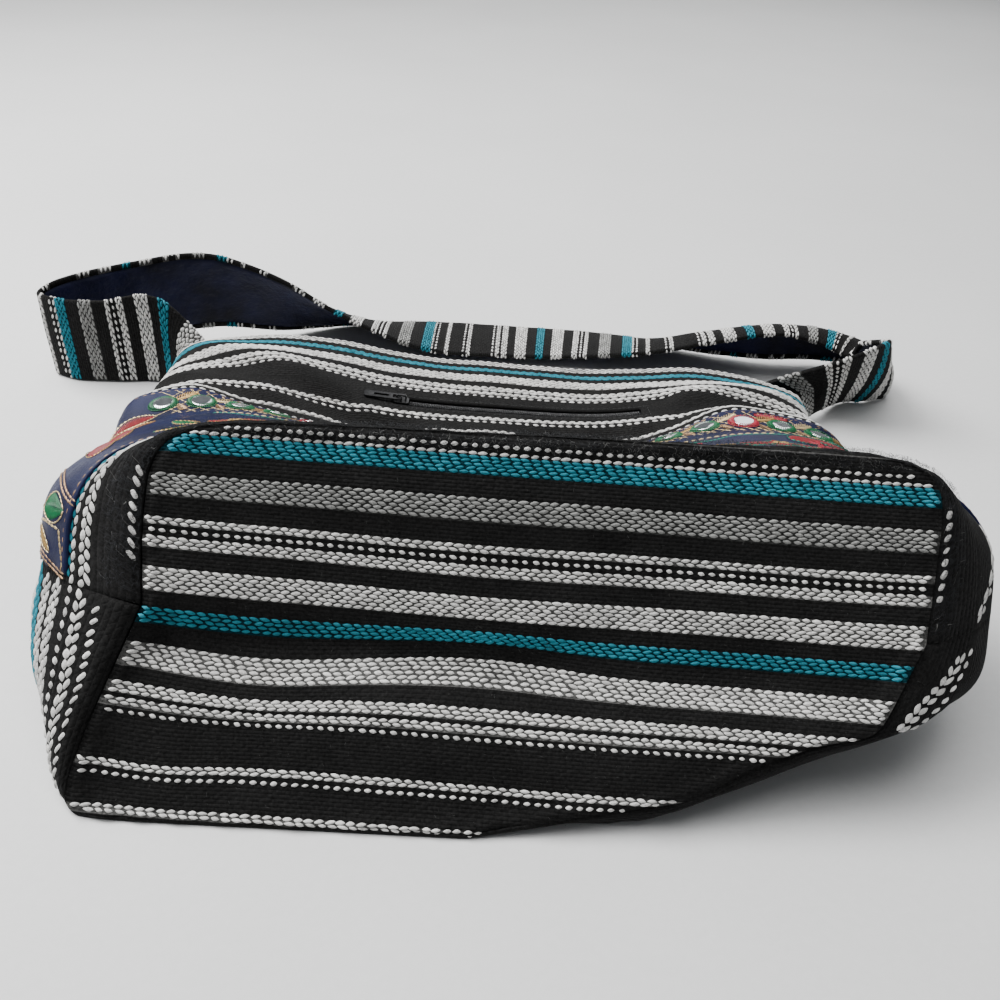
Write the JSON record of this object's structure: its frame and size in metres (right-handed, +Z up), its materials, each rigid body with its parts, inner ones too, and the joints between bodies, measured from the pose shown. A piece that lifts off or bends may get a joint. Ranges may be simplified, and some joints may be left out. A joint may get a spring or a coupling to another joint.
{
  "type": "embroidered crossbody bag",
  "caption": "Soft boxy crossbody bag of striped woven cotton, lying on its back: open mouth, zip pocket, mirrored embroidered band and lined shoulder strap in a loop.",
  "frame": {"origin": "on the surface the bag lies on, under the middle of bag and strap", "axes": "+X along the bag's width to the viewer's right, +Y from the bottom panel to the mouth, +Z up from the back panel to the front panel"},
  "size_m": [0.5743, 0.4511, 0.125],
  "materials": {
    "striped_cotton": "coarse hand-woven stripes of black, white, grey and teal yarn",
    "navy_satin": "satin with thread embroidery",
    "mirror_glass": "small silvered glass",
    "zip_cloth": "fine woven tape",
    "zip_nylon": "nylon coil",
    "zip_metal": "black lacquer",
    "dark_lining": "smooth dark lining"
  },
  "bodies": {
    "bag": {"bottom_panel": "striped_cotton", "front_panel": "striped_cotton", "back_panel": "striped_cotton", "embroidered_band": "navy_satin", "mirror_01": "mirror_glass", "mirror_02": "mirror_glass", "mirror_03": "mirror_glass", "mirror_04": "mirror_glass", "mirror_05": "mirror_glass", "mirror_06": "mirror_glass", "mirror_07": "mirror_glass", "mirror_08": "mirror_glass", "mirror_09": "mirror_glass", "mirror_10": "mirror_glass", "mirror_11": "mirror_glass", "mirror_12": "mirror_glass", "mirror_13": "mirror_glass", "mirror_14": "mirror_glass", "mirror_15": "mirror_glass", "mirror_16": "mirror_glass", "mirror_17": "mirror_glass", "mirror_18": "mirror_glass", "mirror_19": "mirror_glass", "zip_tape": "zip_cloth", "zip_coil": "zip_nylon", "zip_slider": "zip_metal", "strap": "striped_cotton", "strap_lining": "dark_lining"},
    "zip_pull": {"zip_pull": "zip_metal"}
  },
  "joints": [
    {"name": "pull_swing", "type": "hinge", "parent": "bag", "child": "zip_pull", "pos_m": [-0.04221, 0.05229, 0.03786], "axis": [-0.0078, 1, -0.0025], "range_deg": [0, 160]}
  ]
}
